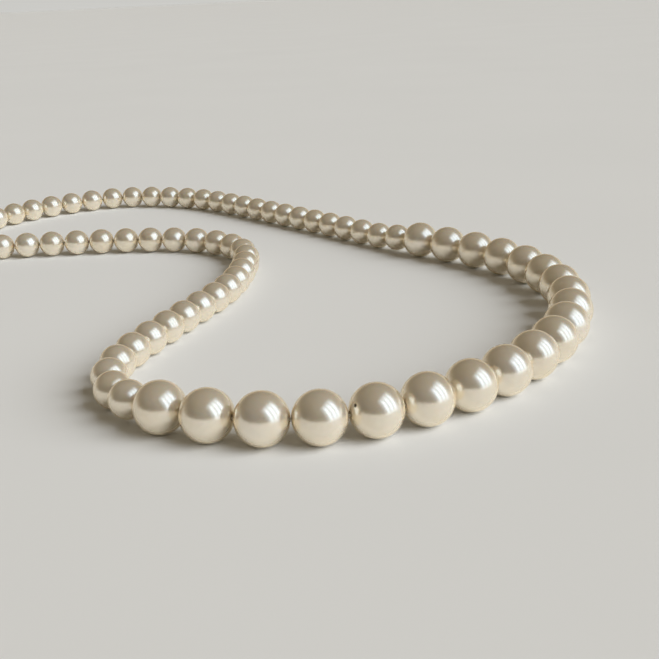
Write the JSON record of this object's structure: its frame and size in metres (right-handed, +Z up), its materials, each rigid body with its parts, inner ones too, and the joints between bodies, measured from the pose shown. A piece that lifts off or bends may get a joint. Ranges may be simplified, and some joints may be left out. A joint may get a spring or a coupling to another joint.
{
  "type": "pearl necklace",
  "caption": "Necklace of round glossy pearls on a thread, large in the centre and smaller towards the ends, with a lobster clasp and a ring.",
  "frame": {"origin": "middle of the necklace's bounding box on the table it lies on", "axes": "+Z up from the table, +X to the right along the front curve, +Y away from the front large pearls towards the back run"},
  "size_m": [0.1634, 0.1822, 0.008],
  "materials": {
    "pearl": "lustrous ivory pearl coat on glass",
    "thread": "twisted off-white thread",
    "silver": "bright silver plate"
  },
  "bodies": {
    "link_a01": {"small_pearls_a01": "pearl"},
    "link_a02": {"small_pearls_a02": "pearl"},
    "link_a03": {"small_pearls_a03": "pearl"},
    "link_a04": {"small_pearls_a04": "pearl"},
    "link_a05": {"small_pearls_a05": "pearl"},
    "link_a06": {"small_pearls_a06": "pearl"},
    "link_a07": {"small_pearls_a07": "pearl"},
    "link_a08": {"small_pearls_a08": "pearl"},
    "link_a09": {"small_pearls_a09": "pearl"},
    "link_a10": {"small_pearls_a10": "pearl"},
    "link_a11": {"small_pearls_a11": "pearl"},
    "link_a12": {"small_pearls_a12": "pearl"},
    "link_a13": {"small_pearls_a13": "pearl"},
    "link_a14": {"small_pearls_a14": "pearl"},
    "pearl_01": {"large_pearl_01": "pearl"},
    "pearl_02": {"large_pearl_02": "pearl"},
    "pearl_03": {"large_pearl_03": "pearl"},
    "pearl_04": {"large_pearl_04": "pearl"},
    "pearl_05": {"large_pearl_05": "pearl"},
    "pearl_06": {"large_pearl_06": "pearl"},
    "pearl_07": {"large_pearl_07": "pearl"},
    "pearl_08": {"large_pearl_08": "pearl"},
    "pearl_09": {"large_pearl_09": "pearl"},
    "pearl_10": {"large_pearl_10": "pearl", "stringing_thread": "thread"},
    "pearl_11": {"large_pearl_11": "pearl"},
    "pearl_12": {"large_pearl_12": "pearl"},
    "pearl_13": {"large_pearl_13": "pearl"},
    "pearl_14": {"large_pearl_14": "pearl"},
    "pearl_15": {"large_pearl_15": "pearl"},
    "pearl_16": {"large_pearl_16": "pearl"},
    "pearl_17": {"large_pearl_17": "pearl"},
    "pearl_18": {"large_pearl_18": "pearl"},
    "pearl_19": {"large_pearl_19": "pearl"},
    "pearl_20": {"large_pearl_20": "pearl"},
    "link_b01": {"small_pearls_b01": "pearl"},
    "link_b02": {"small_pearls_b02": "pearl"},
    "link_b03": {"small_pearls_b03": "pearl"},
    "link_b04": {"small_pearls_b04": "pearl"},
    "link_b05": {"small_pearls_b05": "pearl"},
    "link_b06": {"small_pearls_b06": "pearl"},
    "link_b07": {"small_pearls_b07": "pearl"},
    "link_b08": {"small_pearls_b08": "pearl"},
    "link_b09": {"small_pearls_b09": "pearl"},
    "link_b10": {"small_pearls_b10": "pearl"},
    "link_b11": {"small_pearls_b11": "pearl"},
    "link_b12": {"small_pearls_b12": "pearl"},
    "link_b13": {"small_pearls_b13": "pearl"},
    "link_b14": {"small_pearls_b14": "pearl"},
    "cup_a": {"thread_cup_a": "silver", "crimp_a": "silver"},
    "clasp_ring": {"jump_ring": "silver"},
    "clasp": {"clasp_body": "silver", "clasp_pin": "silver", "clasp_spring": "silver"},
    "cup_b": {"thread_cup_b": "silver", "crimp_b": "silver"},
    "ring_b": {"end_ring": "silver"},
    "lever": {"clasp_lever": "silver"}
  },
  "joints": [
    {"name": "open_lever", "type": "hinge", "parent": "clasp", "child": "lever", "pos_m": [-0.06909, 0.02377, 0.0015], "axis": [0, 0, 1], "range_deg": [-35, 0], "stiffness_Nm_per_rad": 0.002, "springref_deg": 20.05, "deforming": ["clasp_spring"]},
    {"name": "lift_clasp", "type": "hinge", "parent": "clasp_ring", "child": "clasp", "pos_m": [-0.06421, 0.0259, 0.00275], "axis": [-0.2389, 0.9711, 0], "range_deg": [-60, 100]},
    {"name": "swing_clasp_ring", "type": "hinge", "parent": "cup_a", "child": "clasp_ring", "pos_m": [-0.0619, 0.02646, 0.00305], "axis": [0, 0, 1], "range_deg": [-60, 60]},
    {"name": "lift_end_ring", "type": "hinge", "parent": "cup_b", "child": "ring_b", "pos_m": [-0.07766, 0.04536, 0.00305], "axis": [-0.6484, 0.7613, 0], "range_deg": [-50, 100]},
    {"name": "sway_cup_a", "type": "hinge", "parent": "link_a01", "child": "cup_a", "pos_m": [-0.05714, 0.02763, 0.00305], "axis": [0, 0, 1], "range_deg": [-20, 20], "deforming": ["stringing_thread"]},
    {"name": "sway_cup_b", "type": "hinge", "parent": "link_b14", "child": "cup_b", "pos_m": [-0.07393, 0.04854, 0.00305], "axis": [0, 0, -1], "range_deg": [-20, 20], "deforming": ["stringing_thread"]},
    {"name": "lift_pearl_09", "type": "hinge", "parent": "pearl_10", "child": "pearl_09", "pos_m": [0.06723, -0.06356, 0.004], "axis": [-0.8148, 0.5798, 0], "range_deg": [-17, 17], "deforming": ["stringing_thread"]},
    {"name": "lift_pearl_11", "type": "hinge", "parent": "pearl_10", "child": "pearl_11", "pos_m": [0.07164, -0.05674, 0.004], "axis": [-0.8871, 0.4616, 0], "range_deg": [-14, 14], "deforming": ["stringing_thread"]},
    {"name": "sway_pearl_08", "type": "hinge", "parent": "pearl_09", "child": "pearl_08", "pos_m": [0.06223, -0.06996, 0.004], "axis": [0, 0, 1], "range_deg": [-9, 26], "deforming": ["stringing_thread"]},
    {"name": "sway_pearl_12", "type": "hinge", "parent": "pearl_11", "child": "pearl_12", "pos_m": [0.07469, -0.04921, 0.004], "axis": [0, 0, 1], "range_deg": [-23, 12], "deforming": ["stringing_thread"]},
    {"name": "lift_pearl_07", "type": "hinge", "parent": "pearl_08", "child": "pearl_07", "pos_m": [0.05637, -0.07557, 0.004], "axis": [0.6527, -0.7577, 0], "range_deg": [-17, 17], "deforming": ["stringing_thread"]},
    {"name": "lift_pearl_13", "type": "hinge", "parent": "pearl_12", "child": "pearl_13", "pos_m": [0.07698, -0.04142, 0.004], "axis": [0.9798, -0.1998, 0], "range_deg": [-15, 15], "deforming": ["stringing_thread"]},
    {"name": "sway_pearl_06", "type": "hinge", "parent": "pearl_07", "child": "pearl_06", "pos_m": [0.04995, -0.08054, 0.004], "axis": [0, 0, -1], "range_deg": [-28, 7], "deforming": ["stringing_thread"]},
    {"name": "sway_pearl_14", "type": "hinge", "parent": "pearl_13", "child": "pearl_14", "pos_m": [0.07793, -0.03336, 0.004], "axis": [0, 0, -1], "range_deg": [-7, 28], "deforming": ["stringing_thread"]},
    {"name": "lift_pearl_05", "type": "hinge", "parent": "pearl_06", "child": "pearl_05", "pos_m": [0.04275, -0.08431, 0.004], "axis": [-0.3876, 0.9218, 0], "range_deg": [-15, 15], "deforming": ["stringing_thread"]},
    {"name": "lift_pearl_15", "type": "hinge", "parent": "pearl_14", "child": "pearl_15", "pos_m": [0.07742, -0.02525, 0.004], "axis": [-0.9913, -0.1314, 0], "range_deg": [-16, 16], "deforming": ["stringing_thread"]},
    {"name": "sway_pearl_04", "type": "hinge", "parent": "pearl_05", "child": "pearl_04", "pos_m": [0.03503, -0.08682, 0.004], "axis": [0, 0, 1], "range_deg": [-3, 32], "deforming": ["stringing_thread"]},
    {"name": "sway_pearl_16", "type": "hinge", "parent": "pearl_15", "child": "pearl_16", "pos_m": [0.0758, -0.0173, 0.004], "axis": [0, 0, 1], "range_deg": [-28, 7], "deforming": ["stringing_thread"]},
    {"name": "lift_pearl_03", "type": "hinge", "parent": "pearl_04", "child": "pearl_03", "pos_m": [0.02693, -0.08737, 0.004], "axis": [-0.0507, -0.9987, 0], "range_deg": [-11, 11], "deforming": ["stringing_thread"]},
    {"name": "lift_pearl_17", "type": "hinge", "parent": "pearl_16", "child": "pearl_17", "pos_m": [0.07282, -0.00974, 0.004], "axis": [0.8939, 0.4483, 0], "range_deg": [-14, 14], "deforming": ["stringing_thread"]},
    {"name": "sway_pearl_02", "type": "hinge", "parent": "pearl_03", "child": "pearl_02", "pos_m": [0.01893, -0.086, 0.004], "axis": [0, 0, -1], "range_deg": [-29, 6], "deforming": ["stringing_thread"]},
    {"name": "sway_pearl_18", "type": "hinge", "parent": "pearl_17", "child": "pearl_18", "pos_m": [0.06855, -0.00284, 0.004], "axis": [0, 0, -1], "range_deg": [-8, 24], "deforming": ["stringing_thread"]},
    {"name": "lift_pearl_01", "type": "hinge", "parent": "pearl_02", "child": "pearl_01", "pos_m": [0.01134, -0.08309, 0.004], "axis": [0.461, 0.8874, 0], "range_deg": [-12, 12], "deforming": ["stringing_thread"]},
    {"name": "lift_pearl_19", "type": "hinge", "parent": "pearl_18", "child": "pearl_19", "pos_m": [0.06351, 0.00353, 0.004], "axis": [-0.7508, -0.6605, 0], "range_deg": [-16, 16], "deforming": ["stringing_thread"]},
    {"name": "sway_link_a14", "type": "hinge", "parent": "pearl_01", "child": "link_a14", "pos_m": [0.00461, -0.07856, 0.004], "axis": [0, 0, 1], "range_deg": [-4, 34], "deforming": ["stringing_thread"]},
    {"name": "sway_pearl_20", "type": "hinge", "parent": "pearl_19", "child": "pearl_20", "pos_m": [0.05783, 0.00934, 0.004], "axis": [0, 0, 1], "range_deg": [-18, 9], "deforming": ["stringing_thread"]},
    {"name": "lift_link_a13", "type": "hinge", "parent": "link_a14", "child": "link_a13", "pos_m": [-0.00203, -0.06799, 0.00305], "axis": [-0.9624, -0.2715, 0], "range_deg": [-12, 12], "deforming": ["stringing_thread"]},
    {"name": "lift_link_b01", "type": "hinge", "parent": "pearl_20", "child": "link_b01", "pos_m": [0.05215, 0.01514, 0.004], "axis": [0.7347, 0.6784, 0], "range_deg": [-19, 19], "deforming": ["stringing_thread"]},
    {"name": "sway_link_a12", "type": "hinge", "parent": "link_a13", "child": "link_a12", "pos_m": [-0.00178, -0.05571, 0.00305], "axis": [0, 0, -1], "range_deg": [-26, 13], "deforming": ["stringing_thread"]},
    {"name": "sway_link_b02", "type": "hinge", "parent": "link_b01", "child": "link_b02", "pos_m": [0.04403, 0.02478, 0.00305], "axis": [0, 0, -1], "range_deg": [-9, 19], "deforming": ["stringing_thread"]},
    {"name": "lift_link_a11", "type": "hinge", "parent": "link_a12", "child": "link_a11", "pos_m": [0.00225, -0.04394, 0.00305], "axis": [0.9308, -0.3655, 0], "range_deg": [-19, 19], "deforming": ["stringing_thread"]},
    {"name": "lift_link_b03", "type": "hinge", "parent": "link_b02", "child": "link_b03", "pos_m": [0.03629, 0.03452, 0.00305], "axis": [-0.7793, -0.6266, 0], "range_deg": [-19, 19], "deforming": ["stringing_thread"]},
    {"name": "sway_link_a10", "type": "hinge", "parent": "link_a11", "child": "link_a10", "pos_m": [0.00685, -0.03238, 0.00305], "axis": [0, 0, 1], "range_deg": [-18, 21], "deforming": ["stringing_thread"]},
    {"name": "sway_link_b04", "type": "hinge", "parent": "link_b03", "child": "link_b04", "pos_m": [0.02839, 0.04413, 0.00305], "axis": [0, 0, 1], "range_deg": [-20, 8], "deforming": ["stringing_thread"]},
    {"name": "lift_link_a09", "type": "hinge", "parent": "link_a10", "child": "link_a09", "pos_m": [0.01156, -0.02088, 0.00305], "axis": [-0.9498, 0.3128, 0], "range_deg": [-19, 19], "deforming": ["stringing_thread"]},
    {"name": "lift_link_b05", "type": "hinge", "parent": "link_b04", "child": "link_b05", "pos_m": [0.02039, 0.05365, 0.00305], "axis": [0.7637, 0.6456, 0], "range_deg": [-19, 19], "deforming": ["stringing_thread"]},
    {"name": "sway_link_a08", "type": "hinge", "parent": "link_a09", "child": "link_a08", "pos_m": [0.01414, -0.00872, 0.00305], "axis": [0, 0, -1], "range_deg": [-16, 23], "deforming": ["stringing_thread"]},
    {"name": "sway_link_b06", "type": "hinge", "parent": "link_b05", "child": "link_b06", "pos_m": [0.01235, 0.06315, 0.00305], "axis": [0, 0, -1], "range_deg": [-9, 20], "deforming": ["stringing_thread"]},
    {"name": "lift_link_a07", "type": "hinge", "parent": "link_a08", "child": "link_a07", "pos_m": [0.01488, 0.00369, 0.00305], "axis": [0.9996, 0.0269, 0], "range_deg": [-19, 19], "deforming": ["stringing_thread"]},
    {"name": "lift_link_b07", "type": "hinge", "parent": "link_b06", "child": "link_b07", "pos_m": [0.00411, 0.07247, 0.00305], "axis": [-0.7262, -0.6875, 0], "range_deg": [-19, 19], "deforming": ["stringing_thread"]},
    {"name": "sway_link_a06", "type": "hinge", "parent": "link_a07", "child": "link_a06", "pos_m": [0.01234, 0.01577, 0.00305], "axis": [0, 0, 1], "range_deg": [-14, 3], "deforming": ["stringing_thread"]},
    {"name": "sway_link_b08", "type": "hinge", "parent": "link_b07", "child": "link_b08", "pos_m": [-0.00518, 0.08069, 0.00305], "axis": [0, 0, 1], "range_deg": [-27, 11], "deforming": ["stringing_thread"]},
    {"name": "lift_link_a05", "type": "hinge", "parent": "link_a06", "child": "link_a05", "pos_m": [0.00402, 0.0249, 0.00305], "axis": [-0.5428, -0.8398, 0], "range_deg": [-12, 12], "deforming": ["stringing_thread"]},
    {"name": "lift_link_b09", "type": "hinge", "parent": "link_b08", "child": "link_b09", "pos_m": [-0.01637, 0.08604, 0.00305], "axis": [0.3192, 0.9477, 0], "range_deg": [-19, 19], "deforming": ["stringing_thread"]},
    {"name": "sway_link_a04", "type": "hinge", "parent": "link_a05", "child": "link_a04", "pos_m": [-0.00769, 0.02887, 0.00305], "axis": [0, 0, -1], "range_deg": [-15, 15], "deforming": ["stringing_thread"]},
    {"name": "sway_link_b10", "type": "hinge", "parent": "link_b09", "child": "link_b10", "pos_m": [-0.02854, 0.08833, 0.00305], "axis": [0, 0, -1], "range_deg": [-1, 38], "deforming": ["stringing_thread"]},
    {"name": "lift_link_a03", "type": "hinge", "parent": "link_a04", "child": "link_a03", "pos_m": [-0.02006, 0.0301, 0.00305], "axis": [0.0366, 0.9993, 0], "range_deg": [-19, 19], "deforming": ["stringing_thread"]},
    {"name": "lift_link_b11", "type": "hinge", "parent": "link_b10", "child": "link_b11", "pos_m": [-0.04023, 0.08424, 0.00305], "axis": [0.4609, -0.8874, 0], "range_deg": [-19, 19], "deforming": ["stringing_thread"]},
    {"name": "sway_link_a02", "type": "hinge", "parent": "link_a03", "child": "link_a02", "pos_m": [-0.03249, 0.0302, 0.00305], "axis": [0, 0, 1], "range_deg": [-20, 19], "deforming": ["stringing_thread"]},
    {"name": "sway_link_b12", "type": "hinge", "parent": "link_b11", "child": "link_b12", "pos_m": [-0.05062, 0.07743, 0.00305], "axis": [0, 0, 1], "range_deg": [-30, 9], "deforming": ["stringing_thread"]},
    {"name": "lift_link_a01", "type": "hinge", "parent": "link_a02", "child": "link_a01", "pos_m": [-0.04493, 0.02992, 0.00305], "axis": [0.0794, -0.9968, 0], "range_deg": [-19, 19], "deforming": ["stringing_thread"]},
    {"name": "lift_link_b13", "type": "hinge", "parent": "link_b12", "child": "link_b13", "pos_m": [-0.05861, 0.06792, 0.00305], "axis": [-0.8257, 0.5641, 0], "range_deg": [-19, 19], "deforming": ["stringing_thread"]},
    {"name": "sway_link_b14", "type": "hinge", "parent": "link_b13", "child": "link_b14", "pos_m": [-0.06534, 0.05746, 0.00305], "axis": [0, 0, -1], "range_deg": [-24, 15], "deforming": ["stringing_thread"]}
  ]
}
